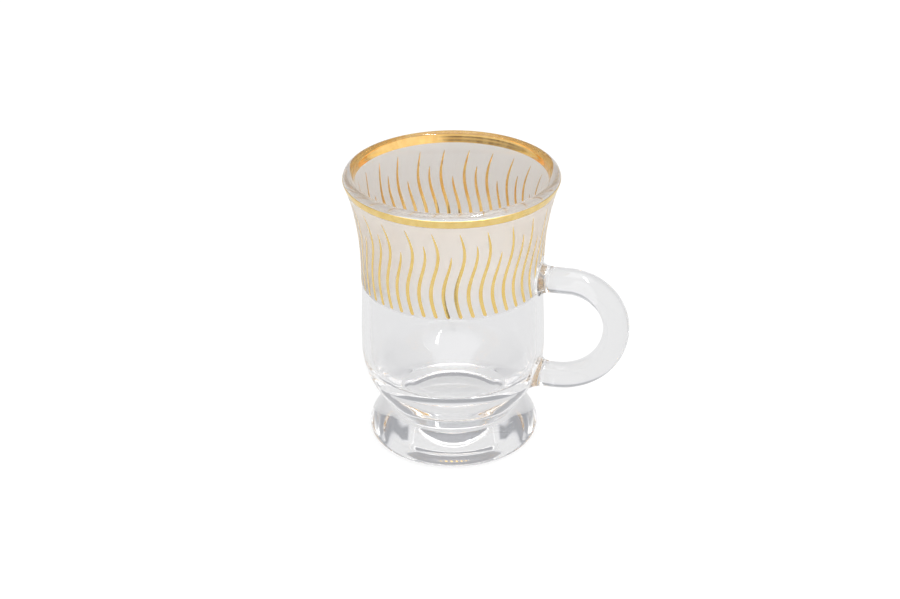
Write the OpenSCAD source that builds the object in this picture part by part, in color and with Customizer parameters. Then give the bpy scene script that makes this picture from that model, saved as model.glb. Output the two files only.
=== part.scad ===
// Footed tea mug of clear glass with a flared lip and a D-shaped handle,
// decorated with a frosted band, a gold band and wavy gold lines.
// Millimetres, +Z up. The origin is the centre of the foot's underside.
// The handle points along +X.

/* [Bowl] */
// Height from the table to the top of the lip
mug_h = 100; // [95:0.5:110]
// Outer diameter of the lip
rim_d = 73; // [69:0.5:78]
// Thickness of the rounded lip
lip_t = 3.7; // [3:0.1:4.2]
// Outer diameter of the neck, the narrowest place of the upper wall
neck_d = 62.6; // [59:0.2:65]
// Height of the neck above the table
neck_z = 62; // [56:0.5:68]
// Outer diameter of the belly
belly_d = 64; // [61:0.2:67]
// Height of the belly above the table
belly_z = 36; // [32:0.5:41]
// Outer diameter of the waist, where the bowl meets the foot
waist_d = 43.8; // [38:0.2:48]
// Height of the waist above the table
waist_z = 11.2; // [9.5:0.1:13]
// Thickness of the wall at the neck and the belly
wall_t = 2.8; // [2:0.1:3.6]
// Thickness of the floor's rim above the waist
floor_t = 6; // [4:0.1:8]
// Diameter of the floor inside
floor_d = 26.4; // [22:0.2:32]
// Diameter of the flat middle of the shallow dish in the floor
dish_d = 20.4; // [14:0.2:21.6]
// Depth of that dish
dish_h = 1.2; // [0.4:0.1:2]

/* [Foot] */
// Outer diameter of the foot
foot_d = 59.8; // [54:0.2:66]
// Height of the foot's widest place above the table
foot_widest_z = 3.2; // [2:0.1:4.5]
// Depth of the rounding below that place, measured inwards
foot_edge_depth = 2.9; // [2:0.1:5]
// Width of the flat ring that the foot stands on
ring_w = 1.5; // [1:0.1:6]
// Depth of the hollow inside that ring
hollow_h = 1.2; // [0.5:0.1:2.5]
// Width of the sloping edge of that hollow
hollow_edge_w = 5.5; // [2:0.1:8]

/* [Handle] */
// Diameter of the handle's glass rod
rod_d = 9; // [7:0.1:10]
// Reach of the handle, from the bowl's axis to its outermost point
handle_reach = 62.1; // [58:0.1:70]
// Height of the upper arm's centre line
upper_arm_z = 63.2; // [60:0.1:68]
// Height of the lower arm's centre line
lower_arm_z = 26.2; // [24:0.1:30]
// Radius of the upper bend at the rod's centre line
upper_bend_r = 16.2; // [12:0.1:18]
// Diameter of the flared welds where they meet the wall
weld_d = 12.8; // [11:0.1:14]
// Length of the welds, along the arms
weld_l = 4.2; // [3:0.1:5]

/* [Gold rim band] */
// Height of the gold band
band_h = 2.9; // [1.5:0.1:4]
// Distance from the top of the lip down to the band
band_drop = 1.8; // [0.8:0.1:2.2]
// Thickness of the gold
gold_t = 0.15; // [0.1:0.01:0.3]

/* [Frosted band] */
// Height of the frosted band, from the gold band down
frost_h = 35.3; // [30:0.1:40]
// Thickness of the frosted coat
frost_t = 0.1; // [0.05:0.01:0.2]
// Width of the clear ring left round the upper weld
window_gap = 1.9; // [1:0.1:3]

/* [Gold waves] */
// Groups of four lines round the bowl: tall, short, tall and medium
wave_groups = 12; // [8:1:14]
// Angle from the handle to the first tall line
wave_start = 4.5; // [0:0.5:15]
// Width of a line at its foot
wave_w = 1.3; // [1:0.05:1.8]
// Sideways reach of the wave
wave_reach = 1.4; // [0.8:0.1:2]
// Length of one full wave
wave_pitch = 30.5; // [26:0.5:36]
// Distance from a line's foot up to where it crosses its own middle
wave_cross = 16.2; // [13:0.1:19]
// Distance from the frosted band's lower edge up to the lines
wave_lift = 0.4; // [0.2:0.1:1]
// Distance from the tips of the tall lines up to the gold band
tip_gap = 2.4; // [1:0.1:6]
// How much shorter a medium line is than a tall one
medium_drop = 5.2; // [2:0.1:7]
// How much shorter a short line is than a tall one
short_drop = 9.2; // [7:0.1:12]

/* [Hidden] */
$fn = 96;

// Colours
clear_glass = [0.90, 0.92, 0.93, 0.5];
frosted_glass = [0.91, 0.88, 0.86];
gold = [0.86, 0.66, 0.27];

// Exponents of the curves: a larger one keeps the wall straight for longer
belly_fullness = 2.2;
cavity_fullness = 3;
waist_fullness = 1.1;
floor_fullness = 1.25;
foot_fullness = 1.7;
flare_fullness = 2.5;
taper_fullness = 3;

// Steps along the curves
belly_steps = 16;
wall_steps = 10;
band_steps = 3;
lip_steps = 14;
edge_steps = 6;
foot_steps = 14;
hollow_steps = 12;
flare_steps = 8;
wave_steps = 16;

// Places worked out from the sizes above
lip_r = lip_t / 2;
lip_mid_r = rim_d / 2 - lip_r;
lip_mid_z = mug_h - lip_r;
flare_angle = atan(flare_fullness * (rim_d - neck_d) / 2 / (lip_mid_z - neck_z));
floor_z = waist_z + floor_t;
hollow_r = foot_d / 2 - foot_edge_depth - ring_w;
band_top_z = mug_h - band_drop;
band_low_z = band_top_z - band_h;
band_wrap = asin((band_top_z - lip_mid_z) / lip_r);
frost_low_z = band_low_z - frost_h;
wave_low_z = frost_low_z + wave_lift;
wave_step = 360 / wave_groups / 4;
tall_h = frost_h - wave_lift - tip_gap;
medium_h = tall_h - medium_drop;
short_h = tall_h - short_drop;
rod_r = rod_d / 2;
rod_mid_x = handle_reach - rod_r;
lower_bend_r = upper_arm_z - lower_arm_z - upper_bend_r;

// Points of a lip's half round, from one angle to another
function lip_arc(from, to, steps) = [
    for (k = [0:steps])
        let (a = from + (to - from) * k / steps)
            [lip_mid_r + lip_r * cos(a), lip_mid_z + lip_r * sin(a)]
];

// A curve that rises from its low point, at the waist or the floor, and ends upright at the belly
function belly_r(z, low, fullness, top_r) =
    let (u = (belly_z - z) / (belly_z - low[1]))
        low[0] + (top_r - low[0]) * pow(max(0, 1 - pow(u, fullness[0])), fullness[1]);

// A smooth change from the belly to the neck
function middle_r(z, low_r, top_r) =
    let (u = (z - belly_z) / (neck_z - belly_z))
        top_r + (low_r - top_r) * (1 + cos(180 * u)) / 2;

// A flare that leaves the neck upright and widens towards the lip
function flare_r(z, low_r, tip) =
    low_r + (tip[0] - low_r) * pow((z - neck_z) / (tip[1] - neck_z), flare_fullness);

// Radius of one face of the wall at a height
function wall_r(z, low, fullness, belly, neck, tip) =
    z < belly_z ? belly_r(z, low, fullness, belly)
    : z < neck_z ? middle_r(z, belly, neck)
    : flare_r(z, neck, tip);

outer_tip = lip_arc(-flare_angle, -flare_angle, 1)[0];
inner_tip = lip_arc(180 - flare_angle, 180 - flare_angle, 1)[0];

function outer_r(z) =
    wall_r(z, [waist_d / 2, waist_z], [belly_fullness, waist_fullness], belly_d / 2, neck_d / 2, outer_tip);
function inner_r(z) =
    wall_r(z, [floor_d / 2, floor_z], [cavity_fullness, floor_fullness],
        belly_d / 2 - wall_t, neck_d / 2 - wall_t, inner_tip);

// Heights in even steps, and the outer and inner points at such heights
function heights(from, to, steps) = [for (k = [0:steps]) from + (to - from) * k / steps];
function outer_points(zs) = [for (z = zs) [outer_r(z), z]];
function inner_points(zs) = [for (z = zs) [inner_r(z), z]];
function without_last(list) = [for (k = [0:len(list) - 2]) list[k]];
function reversed(list) = [for (k = [len(list) - 1:-1:0]) list[k]];

// Stretches of the outer face: below the frost, under the frost and under the gold band
bare_wall = outer_points(heights(waist_z, frost_low_z, belly_steps + wall_steps));
frost_wall = outer_points(heights(frost_low_z, band_low_z, wall_steps));
band_wall = concat(
    without_last(outer_points(heights(band_low_z, outer_tip[1], band_steps))),
    lip_arc(-flare_angle, band_wrap, band_steps)
);
outer_face = concat(
    without_last(bare_wall),
    without_last(frost_wall),
    without_last(band_wall),
    lip_arc(band_wrap, 180 - flare_angle, lip_steps)
);
inner_face = inner_points(heights(floor_z, inner_tip[1], belly_steps + 2 * wall_steps));

// A thin coat on a stretch of the outer face
module coat(wall, t) {
    rotate_extrude()
        polygon(concat(wall, reversed([for (p = wall) [p[0] + t, p[1]]])));
}

// The bowl's outer form without its hollow, which the welds are cut to
module bowl_form() {
    rotate_extrude()
        polygon(concat([[0, waist_z]], outer_face, [[0, inner_tip[1]]]));
}

// Turns a shape that stands on +Z so that it lies along +X at a height
module along_arm(z) {
    translate([0, 0, z]) rotate([0, 90, 0]) children();
}

// The clear ring round the upper weld, right through the coats
module weld_window() {
    along_arm(upper_arm_z) cylinder(h = rim_d, d = weld_d + 2 * window_gap);
}

// A flared weld round an arm: concave, tangent to the wall and to the rod
module weld(z) {
    wall_x = outer_r(z);
    flare = [
        for (k = [0:flare_steps])
            let (a = 90 * k / flare_steps)
                [rod_r + (weld_d / 2 - rod_r) * (1 - sin(a)), wall_x + weld_l * (1 - cos(a))]
    ];
    difference() {
        along_arm(z) rotate_extrude()
            polygon(concat([[0, waist_d / 2], [weld_d / 2, waist_d / 2]], flare, [[0, wall_x + weld_l]]));
        bowl_form();
    }
}

// One arm of the rod with its quarter bend, from the weld's end to the handle's outermost point
module rod_half(arm_z, bend_r, side) {
    from_x = outer_r(arm_z) + weld_l;
    bend_x = rod_mid_x - bend_r;
    translate([bend_x, 0, arm_z]) rotate([0, -90, 0]) cylinder(h = bend_x - from_x, r = rod_r);
    translate([bend_x, 0, arm_z - side * bend_r]) rotate([90, side > 0 ? 0 : 90, 0])
        rotate_extrude(angle = 90) translate([bend_r, 0]) circle(r = rod_r);
}

// Outline of a wavy line, seen from outside, with a round foot and a fading tip
function wave_half(h, wave_h) =
    let (foot = min(1, h / (wave_w / 2)))
        wave_w / 2 * sqrt(1 - pow(1 - foot, 2)) * sqrt(max(0, 1 - pow(h / wave_h, taper_fullness)));
function wave_side(wave_h, side, first, last) = [
    for (k = [first:last])
        let (h = wave_h * (1 - cos(180 * k / wave_steps)) / 2)
            [wave_reach * sin(360 * (h - wave_cross) / wave_pitch) + side * wave_half(h, wave_h), h]
];
module wave_prism(wave_h) {
    outline = concat(
        wave_side(wave_h, 1, 0, wave_steps),
        reversed(wave_side(wave_h, -1, 1, wave_steps - 1))
    );
    translate([waist_d / 2, 0, wave_low_z]) rotate([90, 0, 90])
        linear_extrude(height = rim_d - waist_d) polygon(outline);
}

// The three kinds of line, each evenly spaced round the bowl
module wave_prisms(wave_h, first, count) {
    for (k = [0:count - 1])
        rotate(wave_start + first * wave_step + k * 360 / count) wave_prism(wave_h);
}
module tall_prisms() { wave_prisms(tall_h, 0, 2 * wave_groups); }
module medium_prisms() { wave_prisms(medium_h, 3, wave_groups); }
module short_prisms() { wave_prisms(short_h, 1, wave_groups); }

// Gold lines lie on the glass, in gaps of the frosted coat
module gold_lines() {
    color(gold) difference() {
        intersection() {
            coat(frost_wall, gold_t);
            children();
        }
        weld_window();
    }
}

module bowl() {
    color(clear_glass) rotate_extrude()
        polygon(concat([[0, waist_z]], outer_face, without_last(reversed(inner_face)),
            [[floor_d / 2, floor_z], [dish_d / 2, floor_z - dish_h], [0, floor_z - dish_h]]));
}

module foot() {
    edge = [
        for (k = [0:edge_steps])
            let (a = 90 * k / edge_steps - 90)
                [foot_d / 2 - foot_edge_depth * (1 - cos(a)), foot_widest_z * (1 + sin(a))]
    ];
    top = [
        for (k = [1:foot_steps])
            let (a = 90 * k / foot_steps)
                [waist_d / 2 + (foot_d - waist_d) / 2 * pow(cos(a), 2 / foot_fullness),
                 foot_widest_z + (waist_z - foot_widest_z) * pow(sin(a), 2 / foot_fullness)]
    ];
    hollow = [
        for (k = [0:hollow_steps])
            let (u = k / hollow_steps)
                [hollow_r - hollow_edge_w * (1 - u), hollow_h * (1 - u * u)]
    ];
    color(clear_glass) rotate_extrude()
        polygon(concat([[0, hollow_h]], hollow, edge, top, [[0, waist_z]]));
}

module handle() {
    color(clear_glass) {
        rod_half(upper_arm_z, upper_bend_r, 1);
        rod_half(lower_arm_z, lower_bend_r, -1);
    }
}

module upper_handle_weld() { color(clear_glass) weld(upper_arm_z); }

module lower_handle_weld() { color(clear_glass) weld(lower_arm_z); }

module frosted_band() {
    color(frosted_glass) difference() {
        coat(frost_wall, frost_t);
        tall_prisms();
        medium_prisms();
        short_prisms();
        weld_window();
    }
}

module gold_rim_band() { color(gold) coat(band_wall, gold_t); }

module tall_gold_waves() { gold_lines() tall_prisms(); }

module medium_gold_waves() { gold_lines() medium_prisms(); }

module short_gold_waves() { gold_lines() short_prisms(); }

bowl();
foot();
handle();
upper_handle_weld();
lower_handle_weld();
frosted_band();
gold_rim_band();
tall_gold_waves();
medium_gold_waves();
short_gold_waves();
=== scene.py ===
# A footed tea mug of clear glass with a frosted band, a gold band and wavy gold lines,
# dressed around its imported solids. Metres, +Z up, the handle points along +X.
import math

import bmesh
import bpy
from mathutils import Matrix, Vector


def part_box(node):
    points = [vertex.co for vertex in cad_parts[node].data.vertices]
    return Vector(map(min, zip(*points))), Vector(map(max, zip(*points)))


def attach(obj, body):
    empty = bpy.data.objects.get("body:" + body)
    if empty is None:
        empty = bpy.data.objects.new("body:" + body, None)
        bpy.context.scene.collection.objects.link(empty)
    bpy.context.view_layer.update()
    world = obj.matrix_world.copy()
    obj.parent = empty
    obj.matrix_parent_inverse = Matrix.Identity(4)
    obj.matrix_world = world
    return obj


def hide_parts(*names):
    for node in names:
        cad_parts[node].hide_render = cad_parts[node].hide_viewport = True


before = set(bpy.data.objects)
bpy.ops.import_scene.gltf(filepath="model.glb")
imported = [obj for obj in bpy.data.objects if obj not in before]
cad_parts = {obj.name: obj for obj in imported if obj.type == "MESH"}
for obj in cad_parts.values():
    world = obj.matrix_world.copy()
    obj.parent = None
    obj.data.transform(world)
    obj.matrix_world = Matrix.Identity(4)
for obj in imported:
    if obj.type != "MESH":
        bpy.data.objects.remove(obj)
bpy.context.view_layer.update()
mm = 0.001
hair = 0.001 * mm  # points closer than this are one point
sliver = 0.0005 * mm  # shorter edges are taken out
cutSlack = 0.0001 * mm  # points this close to a cut lie on it
quarterTurn = math.pi / 2
halfTurn = math.pi
fullTurn = 2 * math.pi
crispAngle = math.radians(30)
patchRange = (0.35, 0.65)  # the noise values between which one patch fades into the next
white = (1, 1, 1, 1)


# shader maths: sums of outputs become Math nodes
class Shade:
    def __init__(self, finish, socket):
        self.finish = finish
        self.socket = socket

    def out(self, name):
        return Shade(self.finish, self.socket.node.outputs[name])

    def math(self, operation, first, second):
        return self.finish.add("Math", {"operation": operation}, {0: first, 1: second})

    def __add__(self, other):
        return self.math("ADD", self, other)

    def __sub__(self, other):
        return self.math("SUBTRACT", self, other)

    def __rsub__(self, other):
        return self.math("SUBTRACT", other, self)

    def __mul__(self, other):
        return self.math("MULTIPLY", self, other)

    __radd__ = __add__
    __rmul__ = __mul__


class Finish:
    def __init__(self, owner):
        owner.use_nodes = True
        self.owner = owner
        self.tree = owner.node_tree
        self.tree.nodes.clear()

    def add(self, kind, settings=None, sockets=None, out=0):
        node = self.tree.nodes.new("ShaderNode" + kind)
        for name, value in (settings or {}).items():
            if name == "stops":
                self.setStops(node.color_ramp, value)
            else:
                setattr(node, name, value)
        for name, value in (sockets or {}).items():
            if isinstance(value, Shade):
                self.tree.links.new(value.socket, node.inputs[name])
            else:
                node.inputs[name].default_value = value
        return Shade(self, node.outputs[out]) if len(node.outputs) else None

    def setStops(self, ramp, stops):
        while len(ramp.elements) < len(stops):
            ramp.elements.new(1)
        for element, (place, colour) in zip(ramp.elements, stops):
            element.position = place
            element.color = colour

    def noise(self, vector, scale, detail):
        return self.add("TexNoise", {}, {"Vector": vector, "Scale": scale, "Detail": detail})

    def patches(self, noise):
        return self.remap(noise, *patchRange, 0, 1)

    def bump(self, height, depth):
        return self.add("Bump", {}, {"Height": height, "Strength": 1, "Distance": depth})

    def mixColour(self, share, first, second):
        return self.add("Mix", {"data_type": "RGBA"}, {0: share, 6: first, 7: second}, 2)

    def mixShader(self, share, first, second):
        return self.add("MixShader", {}, {0: share, 1: first, 2: second})

    def remap(self, value, low, high, newLow, newHigh):
        how = {"interpolation_type": "SMOOTHSTEP"}
        return self.add("MapRange", how, {0: value, 1: low, 2: high, 3: newLow, 4: newHigh})

    def surface(self, shader):
        self.add("OutputMaterial", {}, {"Surface": shader})
        return self.owner


# the wall's shape, by height: upright belly, neck, flared lip
bowlSize = {
    "neckRadius": 31.3 * mm,
    "neckZ": 62 * mm,
    "bellyRadius": 32 * mm,
    "bellyZ": 36 * mm,
    "waistRadius": 21.9 * mm,
    "wall": 2.8 * mm,
    "lip": 3.7 * mm,
    "floorRadius": 13.2 * mm,
    "floorZ": 17.2 * mm,
    "dishRadius": 10.2 * mm,
    "dish": 1.2 * mm,
    "bellyFullness": 2.2,
    "cavityFullness": 3,
    "waistFullness": 1.1,
    "floorFullness": 1.25,
    "flareFullness": 2.5,
    "turnSteps": 192,
    "bareSteps": 56,
    "coatSteps": 36,
    "bandSteps": 6,
    "lipSteps": 20,
    "innerSteps": 90,
}


def tenth(value):
    return round(value, 4)  # frame sizes, to a tenth of a millimetre


rimRadius = tenth(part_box("bowl")[1].y)
mugHeight = tenth(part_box("bowl")[1].z)
waistZ = tenth(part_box("bowl")[0].z)
lipRadius = bowlSize["lip"] / 2
lipMidRadius = rimRadius - lipRadius
lipMidZ = mugHeight - lipRadius
flareRise = lipMidZ - bowlSize["neckZ"]
flareAngle = math.atan(bowlSize["flareFullness"] * (rimRadius - bowlSize["neckRadius"]) / flareRise)


def lipPoint(angle):
    return lipMidRadius + lipRadius * math.cos(angle), lipMidZ + lipRadius * math.sin(angle)


outerTip = lipPoint(-flareAngle)
innerTip = lipPoint(halfTurn - flareAngle)


def wallRadius(z, low, fullness, belly, neck, tip):
    s = bowlSize
    if z < s["bellyZ"]:
        drop = (s["bellyZ"] - z) / (s["bellyZ"] - low[1])
        rise = max(0, 1 - drop ** fullness[0]) ** fullness[1]
        return low[0] + (belly - low[0]) * rise
    if z < s["neckZ"]:
        share = (z - s["bellyZ"]) / (s["neckZ"] - s["bellyZ"])
        return neck + (belly - neck) * (1 + math.cos(halfTurn * share)) / 2
    share = (z - s["neckZ"]) / (tip[1] - s["neckZ"])
    return neck + (tip[0] - neck) * share ** s["flareFullness"]


def outerRadius(z):
    s = bowlSize
    waist = (s["waistRadius"], waistZ)
    fullness = (s["bellyFullness"], s["waistFullness"])
    return wallRadius(z, waist, fullness, s["bellyRadius"], s["neckRadius"], outerTip)


def innerRadius(z):
    s = bowlSize
    floor = (s["floorRadius"], s["floorZ"])
    fullness = (s["cavityFullness"], s["floorFullness"])
    belly = s["bellyRadius"] - s["wall"]
    neck = s["neckRadius"] - s["wall"]
    return wallRadius(z, floor, fullness, belly, neck, innerTip)


def spread(low, high, steps):
    return [low + (high - low) * k / steps for k in range(steps + 1)]


# lathe work and other shared shaping
def cleanUp(bm):
    bmesh.ops.remove_doubles(bm, verts=bm.verts, dist=hair)
    bmesh.ops.dissolve_degenerate(bm, edges=bm.edges, dist=sliver)
    bmesh.ops.recalc_face_normals(bm, faces=bm.faces)


def lathe(outline, steps, closed=False):
    bm = bmesh.new()
    verts = [bm.verts.new((r, 0, z)) for r, z in outline]
    pairs = zip(verts, verts[1:] + verts[:1]) if closed else zip(verts, verts[1:])
    edges = [bm.edges.new(pair) for pair in pairs]
    bmesh.ops.spin(bm, geom=verts + edges, cent=(0, 0, 0), axis=(0, 0, 1), angle=fullTurn, steps=steps,
                   use_merge=True)
    cleanUp(bm)
    return bm


patchMargin = 4 * mm


def cutRound(bm, centreZ, radius, sides):
    # cuts a round patch about the handle's side of a wall, and returns its faces
    centre = Vector((0, 0, centreZ))
    patch = []
    for face in bm.faces:
        middle = face.calc_center_median()
        near = (middle - centre).yz.length < radius + patchMargin
        if near and middle.x > 0 and face.normal.x > 0:
            patch.append(face)
    for k in range(sides):
        angle = fullTurn * k / sides
        outward = Vector((0, math.cos(angle), math.sin(angle)))
        edges = {edge for face in patch for edge in face.edges}
        verts = {vert for face in patch for vert in face.verts}
        cut = bmesh.ops.bisect_plane(bm, geom=patch + list(edges) + list(verts), dist=cutSlack,
                                     plane_co=centre + outward * radius, plane_no=outward)
        faces = [part for part in cut["geom"] if isinstance(part, bmesh.types.BMFace)]
        patch = [face for face in faces if (face.calc_center_median() - centre).dot(outward) < radius]
    return patch


def outwardness(face):
    # 1 where a face looks straight away from the mug's axis, -1 where it looks at it
    middle = face.calc_center_median()
    return face.normal.dot(Vector((middle.x, middle.y, 0)).normalized())


def fuse(bm, faces):
    # faces that are fused to the next piece take the second material and, at a corner, a crisp edge
    for face in faces:
        face.material_index = 1
    for edge in bm.edges:
        kinds = {face.material_index for face in edge.link_faces}
        if len(kinds) > 1 and edge.calc_face_angle() > crispAngle:
            edge.smooth = False


def crispen(bm):
    # keeps a thin coat's faces flat up to its edges
    for edge in bm.edges:
        edge.smooth = edge.calc_face_angle(0) < crispAngle


backFacing = -0.5


def backGold(bm):
    # gold that lies on the glass takes the second material
    for face in bm.faces:
        if outwardness(face) < backFacing:
            face.material_index = 1


def setOut(name, bm, *materials):
    mesh = bpy.data.meshes.new(name)
    bm.to_mesh(mesh)
    bm.free()
    for material in materials:
        mesh.materials.append(material)
    thing = bpy.data.objects.new(name, mesh)
    bpy.context.scene.collection.objects.link(thing)
    return thing


def finishPiece(name, bm, slot, node, *materials):
    if bm.calc_volume(signed=True) < 0:
        bmesh.ops.reverse_faces(bm, faces=bm.faces)
    for face in bm.faces:
        face.smooth = True
    piece = setOut(name, bm, *materials)
    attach(piece, "root")
    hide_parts(node)
    print("made", name, len(piece.data.polygons), "faces")


# sizes of what the bowl carries, which its wall is marked for
frostSize = {
    "under": 0.06 * mm,
    "over": 0.1 * mm,
    "skinShare": 0.8,  # faces further out than this share of the coat are its outside
    "window": 8.3 * mm,  # radius of the bare glass round the upper weld
    "rows": 40,
}
frostLowZ = tenth(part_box("frosted_band")[0].z)
frostTopZ = tenth(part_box("frosted_band")[1].z)
bandTopZ = tenth(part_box("gold_rim_band")[1].z)
bandTopAngle = math.asin((bandTopZ - lipMidZ) / lipRadius)
handleSize = {"upperBend": 16.2 * mm, "rodSides": 64, "bendSteps": 32, "armSteps": 6}
weldSize = {"radius": 6.4 * mm, "length": 4.2 * mm, "flareSteps": 14, "patchSteps": 6, "sides": 64}
rodRadius = tenth(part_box("handle")[1].y)
handleReach = tenth(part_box("handle")[1].x)
upperArmZ = tenth(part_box("handle")[1].z) - rodRadius
lowerArmZ = tenth(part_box("handle")[0].z) + rodRadius


# finishes
glassLook = {
    "colour": (0.965, 0.965, 0.97, 1),
    "roughness": 0.0,
    "ior": 1.5,
    "drawn": (1, 1, 0.2),  # ripples run up the wall
    "rippleScale": 70,
    "rippleDepth": 0.003 * mm,
}


def makeClearGlass():
    finish = Finish(bpy.data.materials.new("clearGlass"))
    place = finish.add("TexCoord", {}, {}, "Object")
    drawn = finish.add("Mapping", {}, {"Vector": place, "Scale": glassLook["drawn"]})
    ripple = finish.noise(drawn, glassLook["rippleScale"], detail=1)
    glass = finish.add("BsdfPrincipled", {}, {
        "Base Color": glassLook["colour"],
        "Roughness": glassLook["roughness"],
        "IOR": glassLook["ior"],
        "Transmission Weight": 1,
        "Normal": finish.bump(ripple, glassLook["rippleDepth"]),
    })
    return finish.surface(glass)


def makeFusedFace():
    finish = Finish(bpy.data.materials.new("fusedGlassFace"))
    clear = finish.add("BsdfPrincipled", {}, {"Base Color": white, "Alpha": 0})
    return finish.surface(clear)


frostLook = {
    "colour": (0.985, 0.905, 0.825, 1),
    "paler": (0.99, 0.935, 0.865, 1),
    "shine": (0.988, 0.92, 0.845, 1),  # of light that comes through the coat
    "clear": (0.99, 0.985, 0.975, 1),
    "roughness": 0.6,
    "ior": 1.4,
    "blur": 0.5,
    "through": 0.6,
    "thin": 0.1,  # how much of the coat hides the glass, at its lower edge and further up
    "thick": 0.75,
    "fade": 16 * mm,
    "grainScale": 2600,
    "grainDepth": 0.004 * mm,
    "cloudScale": 60,
}


def makeFrost():
    look = frostLook
    finish = Finish(bpy.data.materials.new("frostedCoat"))
    place = finish.add("TexCoord", {}, {}, "Object")
    cloud = finish.patches(finish.noise(place, look["cloudScale"], detail=3))
    grain = finish.noise(place, look["grainScale"], detail=1)
    bump = finish.bump(grain, look["grainDepth"])
    ground = finish.add("BsdfPrincipled", {}, {
        "Base Color": look["clear"],
        "Roughness": look["blur"],
        "IOR": glassLook["ior"],
        "Transmission Weight": 1,
    })
    coat = finish.add("BsdfPrincipled", {}, {
        "Base Color": finish.mixColour(cloud, look["colour"], look["paler"]),
        "Roughness": look["roughness"],
        "IOR": look["ior"],
        "Normal": bump,
    })
    through = finish.add("BsdfTranslucent", {}, {"Color": look["shine"], "Normal": bump})
    satin = finish.mixShader(look["through"], coat, through)
    height = finish.add("SeparateXYZ", {}, {"Vector": place}, "Z")
    hides = finish.remap(height, frostLowZ, frostLowZ + look["fade"], look["thin"], look["thick"])
    return finish.surface(finish.mixShader(hides, ground, satin))


goldLook = {
    "colour": (0.9, 0.65, 0.23, 1),
    "paler": (0.95, 0.71, 0.29, 1),
    "roughness": 0.12,
    "roughnessSpread": 0.08,
    "drawn": (1, 1, 0.5),  # brush strokes run up the wall
    "strokeScale": 420,
    "strokeDepth": 0.003 * mm,
}
goldBackLook = {  # the side that lies on the glass, as smooth as the glass and of a deeper colour
    "colour": (0.92, 0.57, 0.17, 1),
    "paler": (0.97, 0.65, 0.23, 1),
    "roughness": 0.04,
    "roughnessSpread": 0.03,
    "drawn": (1, 1, 0.5),
    "strokeScale": 420,
    "strokeDepth": 0.0003 * mm,
}


def makeGold(name, look):
    finish = Finish(bpy.data.materials.new(name))
    place = finish.add("TexCoord", {}, {}, "Object")
    drawn = finish.add("Mapping", {}, {"Vector": place, "Scale": look["drawn"]})
    stroke = finish.noise(drawn, look["strokeScale"], detail=3)
    share = finish.patches(stroke)
    gold = finish.add("BsdfPrincipled", {}, {
        "Base Color": finish.mixColour(share, look["colour"], look["paler"]),
        "Metallic": 1,
        "Roughness": look["roughness"] + look["roughnessSpread"] * share,
        "Normal": finish.bump(stroke, look["strokeDepth"]),
    })
    return finish.surface(gold)


clearGlass = makeClearGlass()
fusedFace = makeFusedFace()
frostedCoat = makeFrost()
firedGold = makeGold("firedGold", goldLook)
goldBack = makeGold("firedGoldBack", goldBackLook)
print("finishes made")


# clear glass pieces
def makeBowl():
    s = bowlSize
    bare = [(outerRadius(z), z) for z in spread(waistZ, frostLowZ, s["bareSteps"])]
    coated = [(outerRadius(z), z) for z in spread(frostLowZ, frostTopZ, s["coatSteps"])]
    banded = [(outerRadius(z), z) for z in spread(frostTopZ, outerTip[1], s["bandSteps"])]
    lipLow = [lipPoint(a) for a in spread(-flareAngle, bandTopAngle, s["bandSteps"])]
    lipTop = [lipPoint(a) for a in spread(bandTopAngle, halfTurn - flareAngle, s["lipSteps"])]
    inner = [(innerRadius(z), z) for z in spread(innerTip[1], s["floorZ"], s["innerSteps"])]
    dish = [(s["dishRadius"], s["floorZ"] - s["dish"]), (0, s["floorZ"] - s["dish"])]
    outer = [(0, waistZ)] + bare[:-1] + coated[:-1] + banded[:-1]
    bm = lathe(outer + lipLow[:-1] + lipTop[:-1] + inner + dish, s["turnSteps"])
    joined = []
    for face in bm.faces:
        heights = [v.co.z for v in face.verts]
        under = max(heights) < waistZ + hair
        coatedHere = min(heights) > frostLowZ - hair and max(heights) < bandTopZ + hair
        if under or (coatedHere and outwardness(face) > 0):
            joined.append(face)
    fuse(bm, joined)
    for face in cutRound(bm, upperArmZ, frostSize["window"], weldSize["sides"]):
        face.material_index = 0
    for armZ in (upperArmZ, lowerArmZ):
        for face in cutRound(bm, armZ, weldSize["radius"], weldSize["sides"]):
            face.material_index = 1
    finishPiece("glassBowl", bm, "clear_glass", "bowl", clearGlass, fusedFace)


footSize = {
    "widestZ": 3.2 * mm,
    "edgeDepth": 2.9 * mm,
    "ring": 1.5 * mm,
    "hollow": 1.2 * mm,
    "hollowEdge": 5.5 * mm,
    "fullness": 1.7,
    "edgeSteps": 14,
    "topSteps": 28,
    "hollowSteps": 24,
}


def makeFoot():
    s = footSize
    waistRadius = bowlSize["waistRadius"]
    radius = tenth(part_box("foot")[1].y)
    hollowRadius = radius - s["edgeDepth"] - s["ring"]
    hollow = [(0, s["hollow"])]
    for u in spread(0, 1, s["hollowSteps"]):
        hollow.append((hollowRadius - s["hollowEdge"] * (1 - u), s["hollow"] * (1 - u * u)))
    edge = []
    for angle in spread(-quarterTurn, 0, s["edgeSteps"]):
        edge.append((radius - s["edgeDepth"] * (1 - math.cos(angle)), s["widestZ"] * (1 + math.sin(angle))))
    top = []
    for angle in spread(0, quarterTurn, s["topSteps"]):
        out = max(0, math.cos(angle)) ** (2 / s["fullness"])
        up = math.sin(angle) ** (2 / s["fullness"])
        top.append((waistRadius + (radius - waistRadius) * out, s["widestZ"] + (waistZ - s["widestZ"]) * up))
    bm = lathe(hollow + edge[:-1] + top + [(0, waistZ)], bowlSize["turnSteps"])
    fuse(bm, [f for f in bm.faces if all(v.co.z > waistZ - hair for v in f.verts)])
    finishPiece("glassFoot", bm, "clear_glass", "foot", clearGlass, fusedFace)


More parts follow.
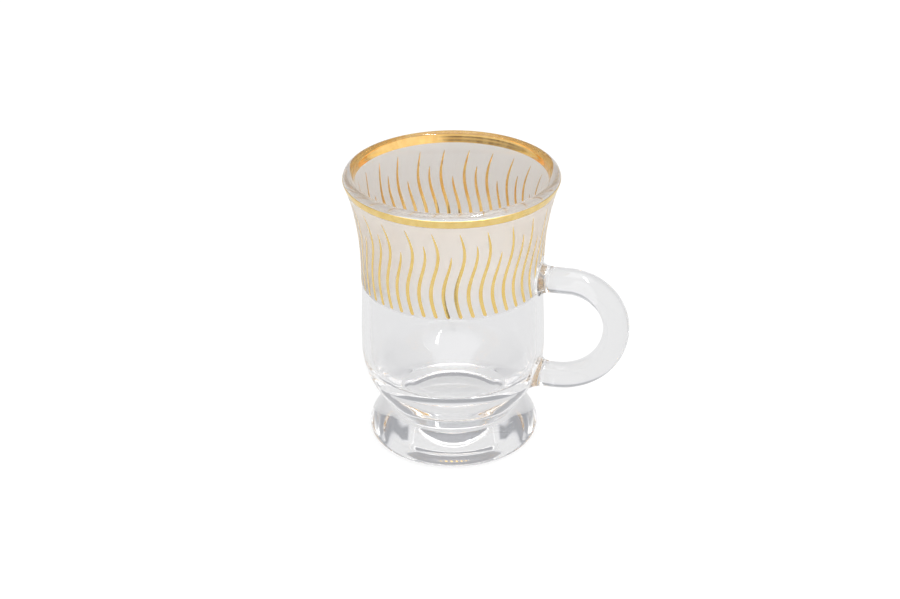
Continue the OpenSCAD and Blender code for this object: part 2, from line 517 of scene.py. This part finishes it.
def makeHandle():
    s = handleSize
    midX = handleReach - rodRadius
    lowerBend = upperArmZ - lowerArmZ - s["upperBend"]
    starts = {armZ: outerRadius(armZ) + weldSize["length"] for armZ in (upperArmZ, lowerArmZ)}
    bm = bmesh.new()
    place = Matrix.Translation((starts[upperArmZ], 0, upperArmZ)) @ Matrix.Rotation(quarterTurn, 4, "Y")
    bmesh.ops.create_circle(bm, cap_ends=True, radius=rodRadius, segments=s["rodSides"], matrix=place)
    ring = bm.edges[:]

    def drawArm(ring, length):
        for k in range(s["armSteps"]):
            drawn = bmesh.ops.extrude_edge_only(bm, edges=ring)["geom"]
            verts = [g for g in drawn if isinstance(g, bmesh.types.BMVert)]
            bmesh.ops.translate(bm, verts=verts, vec=(length / s["armSteps"], 0, 0))
            edges = [g for g in drawn if isinstance(g, bmesh.types.BMEdge)]
            ring = [edge for edge in edges if all(v in verts for v in edge.verts)]
        return ring

    def bend(ring, centre):
        geom = ring + list({v for e in ring for v in e.verts})
        bent = bmesh.ops.spin(bm, geom=geom, cent=centre, axis=(0, 1, 0), angle=quarterTurn,
                              steps=s["bendSteps"])["geom_last"]
        return [g for g in bent if isinstance(g, bmesh.types.BMEdge)]

    ring = drawArm(ring, midX - s["upperBend"] - starts[upperArmZ])
    ring = bend(ring, (midX - s["upperBend"], 0, upperArmZ - s["upperBend"]))
    ring = bend(ring, (midX - lowerBend, 0, lowerArmZ + lowerBend))
    ring = drawArm(ring, starts[lowerArmZ] - (midX - lowerBend))
    bmesh.ops.contextual_create(bm, geom=ring)
    cleanUp(bm)
    fuse(bm, [f for f in bm.faces if len(f.verts) > 4])  # the two round ends
    finishPiece("glassHandle", bm, "clear_glass", "handle", clearGlass, fusedFace)


def makeWeld(name, node, armZ):
    # turned upright with a length of 1, then laid against the wall
    s = weldSize
    patch = [(s["radius"] * u, 0) for u in spread(0, 1, s["patchSteps"])]
    flare = []
    for angle in spread(0, quarterTurn, s["flareSteps"]):
        out = rodRadius + (s["radius"] - rodRadius) * (1 - math.sin(angle))
        flare.append((out, 1 - math.cos(angle)))
    bm = lathe(patch + flare[1:] + [(0, 1)], s["sides"])
    ends = []
    for face in bm.faces:
        heights = [v.co.z for v in face.verts]
        if max(heights) - min(heights) < hair:
            ends.append(face)
    endX = outerRadius(armZ) + s["length"]
    for vert in bm.verts:
        across, up, along = vert.co.y, -vert.co.x, vert.co.z
        wallX = math.sqrt(outerRadius(armZ + up) ** 2 - across ** 2)
        vert.co = (wallX + (endX - wallX) * along, across, armZ + up)
    bm.normal_update()
    fuse(bm, ends)
    finishPiece(name, bm, "clear_glass", node, clearGlass, fusedFace)


makeBowl()
makeFoot()
makeHandle()
makeWeld("upperWeld", "upper_handle_weld", upperArmZ)
makeWeld("lowerWeld", "lower_handle_weld", lowerArmZ)


# frost and gold on the wall
def openWindow(bm):
    inside = cutRound(bm, upperArmZ, frostSize["window"], weldSize["sides"])
    bmesh.ops.delete(bm, geom=inside, context="FACES")


def makeFrostedBand():
    s = frostSize
    outline = [(outerRadius(z) + s["over"], z) for z in spread(frostLowZ, frostTopZ, s["rows"])]
    bm = lathe(outline, bowlSize["turnSteps"])
    for face in bm.faces:
        if outwardness(face) < 0:
            face.normal_flip()
    openWindow(bm)
    thickness = s["over"] - s["under"]
    bmesh.ops.solidify(bm, geom=bm.faces[:], thickness=thickness)
    skin = s["under"] + s["skinShare"] * thickness
    for face in bm.faces:
        middle = face.calc_center_median()
        if middle.xy.length - outerRadius(middle.z) < skin:
            face.material_index = 1
    crispen(bm)
    finishPiece("frostedBand", bm, "frosted_glass", "frosted_band", frostedCoat, fusedFace)


bandSize = {"under": 0.01 * mm, "over": 0.15 * mm, "steps": 12, "ends": 6}


def makeGoldBand():
    s = bandSize
    path = [(outerRadius(z), z, -flareAngle) for z in spread(frostTopZ, outerTip[1], s["steps"])[:-1]]
    path += [lipPoint(a) + (a,) for a in spread(-flareAngle, bandTopAngle, s["steps"])]
    last = len(path) - 1
    outside, inside = [], []
    for k, (r, z, angle) in enumerate(path):
        edge = abs(2 * k / last - 1) ** s["ends"]
        thick = s["under"] + (s["over"] - s["under"]) * math.sqrt(1 - edge)
        outside.append((r + thick * math.cos(angle), z + thick * math.sin(angle)))
        inside.append((r + s["under"] * math.cos(angle), z + s["under"] * math.sin(angle)))
    bm = lathe(outside + inside[::-1], bowlSize["turnSteps"], closed=True)
    backGold(bm)
    crispen(bm)
    finishPiece("goldBand", bm, "gold", "gold_rim_band", firedGold, goldBack)


waveSize = {
    "width": 1.3 * mm,
    "reach": 1.4 * mm,
    "pitch": 30.5 * mm,
    "cross": 16.2 * mm,
    "taper": 3,
    "start": 4.5,  # degrees from the handle to the first tall line
    "groups": 12,
    "perGroup": 4,
    "under": 0.01 * mm,
    "edge": 0.12 * mm,
    "crown": 0.15 * mm,
    "across": 6,
    "rows": 40,
}


def makeWaves(name, node, first, inGroup):
    s = waveSize
    count = inGroup * s["groups"]
    turn = math.radians(s["start"] + first * 360 / s["groups"] / s["perGroup"])
    low, high = (tenth(corner.z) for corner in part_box(node))
    tall = high - low
    bm = bmesh.new()
    bmesh.ops.create_grid(bm, x_segments=s["across"], y_segments=s["rows"], size=1)
    for vert in bm.verts:
        side, row = vert.co.x, (vert.co.y + 1) / 2
        h = tall * (1 - math.cos(halfTurn * row)) / 2
        foot = min(1, h / (s["width"] / 2))
        rounded = math.sqrt(1 - (1 - foot) ** 2)
        tapered = math.sqrt(max(0, 1 - (h / tall) ** s["taper"]))
        half = s["width"] / 2 * rounded * tapered
        across = s["reach"] * math.sin(fullTurn * (h - s["cross"]) / s["pitch"]) + side * half
        r = outerRadius(low + h) + s["edge"] + (s["crown"] - s["edge"]) * (1 - side * side)
        vert.co = (math.sqrt(r * r - across * across), across, low + h)
    cleanUp(bm)
    for face in bm.faces:
        if face.normal.x < 0:
            face.normal_flip()
    bmesh.ops.rotate(bm, verts=bm.verts, matrix=Matrix.Rotation(turn, 3, "Z"))
    bmesh.ops.spin(bm, geom=bm.verts[:] + bm.edges[:] + bm.faces[:], cent=(0, 0, 0), axis=(0, 0, 1),
                   angle=fullTurn * (count - 1) / count, steps=count - 1, use_duplicate=True)
    bm.normal_update()
    openWindow(bm)
    bmesh.ops.solidify(bm, geom=bm.faces[:], thickness=s["edge"] - s["under"])
    bm.normal_update()
    backGold(bm)
    crispen(bm)
    finishPiece(name, bm, "gold", node, firedGold, goldBack)


makeFrostedBand()
makeGoldBand()
makeWaves("tallWaves", "tall_gold_waves", first=0, inGroup=2)
makeWaves("mediumWaves", "medium_gold_waves", first=3, inGroup=1)
makeWaves("shortWaves", "short_gold_waves", first=1, inGroup=1)


# stage: camera, floor, a card that paints a dark reflection, and studio light; places are right, towards the
# camera, up
photoCamera = {
    "azimuth": 15,
    "distance": 525.05 * mm,
    "height": 329.55 * mm,
    "pitch": 27.943,
    "turn": 0.103,
    "roll": -0.556,
    "lens": 68.38,
    "sensor": 36,
    "nearest": 10 * mm,
}
aroundMug = Matrix.Rotation(math.radians(photoCamera["azimuth"]), 4, "Z")


def fromCamera(right, toward, up):
    return aroundMug @ Vector((right, -toward, up))


def makeCamera():
    c = photoCamera
    data = bpy.data.cameras.new("photoCamera")
    data.lens = c["lens"]
    data.sensor_width = c["sensor"]
    data.sensor_fit = "HORIZONTAL"
    data.clip_start = c["nearest"]
    camera = bpy.data.objects.new("photoCamera", data)
    bpy.context.scene.collection.objects.link(camera)
    stand = Matrix.Translation((0, -c["distance"], c["height"]))
    aim = Matrix.Rotation(math.radians(c["turn"]), 4, "Z")
    tilt = Matrix.Rotation(quarterTurn - math.radians(c["pitch"]), 4, "X")
    roll = Matrix.Rotation(math.radians(c["roll"]), 4, "Z")
    camera.matrix_world = aroundMug @ stand @ aim @ tilt @ roll
    bpy.context.scene.camera = camera


floorLook = {
    "half": 3.0,
    "drop": 0.05 * mm,
    "colour": (0.9, 0.9, 0.9, 1),
    "seenGlow": 0.85,
    "throughGlow": 0.92,
    "seenStrength": 1.02,
    "throughStrength": 0.8,
}


def makeFloor():
    s = floorLook
    bm = bmesh.new()
    place = Matrix.Translation((0, 0, -s["drop"]))
    bmesh.ops.create_grid(bm, x_segments=1, y_segments=1, size=s["half"], matrix=place)
    finish = Finish(bpy.data.materials.new("paleFloor"))
    seen = finish.add("LightPath", {}, {}, "Is Camera Ray")
    through = seen.math("MAXIMUM", seen.out("Is Glossy Ray"), seen.out("Is Transmission Ray"))
    share = seen.math("MAXIMUM", seen * s["seenGlow"], through * s["throughGlow"])
    throughGlow = finish.add("Emission", {}, {"Color": white, "Strength": s["throughStrength"]})
    seenGlow = finish.add("Emission", {}, {"Color": white, "Strength": s["seenStrength"]})
    plain = finish.add("BsdfDiffuse", {}, {"Color": s["colour"]})
    glow = finish.mixShader(seen, throughGlow, seenGlow)
    setOut("floor", bm, finish.surface(finish.mixShader(share, plain, glow)))


# a dark card on the table in front of the mug, hidden from the camera, from light and from shadows: its dark
# colour is a painted reflection that shows only in the gold and the glass
paintedReflectionCard = {
    "middle": (-2 * mm, 168 * mm),
    "size": (40 * mm, 44 * mm),
    "lift": 0.5 * mm,
    "colour": (0.04, 0.04, 0.04, 1),
}


def makePaintedReflectionCard():
    s = paintedReflectionCard
    place = Matrix.Translation(fromCamera(*s["middle"], s["lift"]))
    scale = Matrix.Diagonal((*s["size"], 1, 1))
    bm = bmesh.new()
    bmesh.ops.create_grid(bm, x_segments=1, y_segments=1, size=0.5, matrix=place @ aroundMug @ scale)
    # the card's near-black colour paints a dark reflection into the gold lines and the glass
    finish = Finish(bpy.data.materials.new("paintedReflectionShade"))
    card = setOut("paintedReflectionCard", bm, finish.surface(finish.add("BsdfDiffuse", {}, {"Color": s["colour"]})))
    card.visible_camera = False
    card.visible_diffuse = False
    card.visible_shadow = False


def grey(level):
    return level, level, level, 1


studioLook = {
    "backSky": [  # by height: a white backdrop under a dimmer room
        (0.0, (0.85, 0.85, 0.86, 1)),
        (0.12, (0.78, 0.78, 0.8, 1)),
        (0.24, (0.38, 0.39, 0.41, 1)),
        (0.75, (0.4, 0.4, 0.42, 1)),
    ],
    "frontSky": [  # by height: the table's far end, a thin dark rail, a pale wall
        (0.0, grey(0.75)),
        (0.1, grey(0.8)),
        (0.285, grey(0.95)),
        (0.3, grey(0.2)),
        (0.314, grey(0.2)),
        (0.328, grey(0.85)),
        (0.6, grey(1.25)),
        (0.85, grey(1.0)),
    ],
    "frontTilt": 0.16,  # how much lower the front sky stands at the sides
    "frontFrom": -0.3,
    "frontTo": 0.3,
    "ceiling": grey(3.0),
    "ceilingFrom": 0.78,
    "ceilingTo": 1.0,
    "panel": grey(1.1),
    "panelPlace": (0.8, 0.55, 0.3),
    "panelFrom": 0.55,
    "panelTo": 0.9,
}


def makeStudio():
    s = studioLook
    world = bpy.data.worlds.new("studio")
    bpy.context.scene.world = world
    finish = Finish(world)
    direction = finish.add("TexCoord", {}, {}, "Generated")
    height = finish.add("SeparateXYZ", {}, {"Vector": direction}, "Z")

    def along(place):
        return finish.add("VectorMath", {"operation": "DOT_PRODUCT"}, {0: direction, 1: place}, "Value")

    def blend(value, kind, first, second):
        share = finish.remap(value, s[kind + "From"], s[kind + "To"], 0, 1)
        return finish.mixColour(share, first, second)

    front = along(fromCamera(0, 1, 0))
    tilted = height + s["frontTilt"] * (1 - front)
    backSky = finish.add("ValToRGB", {"stops": s["backSky"]}, {"Fac": height})
    frontSky = finish.add("ValToRGB", {"stops": s["frontSky"]}, {"Fac": tilted})
    sky = blend(front, "front", backSky, frontSky)
    sky = blend(height, "ceiling", sky, s["ceiling"])
    sky = blend(along(fromCamera(*s["panelPlace"]).normalized()), "panel", sky, s["panel"])
    back = finish.add("Background", {}, {"Color": sky})
    finish.add("OutputWorld", {}, {"Surface": back})


# a lamp's tilt is from straight down
topStrip = {"place": (0.24, 0.28, 0.93), "size": (0.05, 0.5), "tilt": 0, "power": 3, "mirrored": True}
softBox = {"place": (0.2, 0.9, 0.8), "size": (1.2, 0.7), "tilt": 50, "power": 3.2, "mirrored": False}


def makeLamp(name, look):
    data = bpy.data.lights.new(name, "AREA")
    data.shape = "RECTANGLE"
    data.size, data.size_y = look["size"]
    data.energy = look["power"]
    lamp = bpy.data.objects.new(name, data)
    bpy.context.scene.collection.objects.link(lamp)
    lamp.visible_glossy = look["mirrored"]
    tilt = Matrix.Rotation(math.radians(look["tilt"]), 4, "X")
    lamp.matrix_world = Matrix.Translation(fromCamera(*look["place"])) @ aroundMug @ tilt


bounces = 48  # a view through the foot crosses the glass many times
bounceLimits = (
    "max_bounces",
    "diffuse_bounces",
    "glossy_bounces",
    "transmission_bounces",
    "transparent_max_bounces",
)

makeFloor()
makePaintedReflectionCard()
makeCamera()
makeStudio()
makeLamp("topStrip", topStrip)
makeLamp("softBox", softBox)
bpy.context.scene.view_settings.view_transform = "Standard"
for limit in bounceLimits:
    setattr(bpy.context.scene.cycles, limit, bounces)
print("stage set")
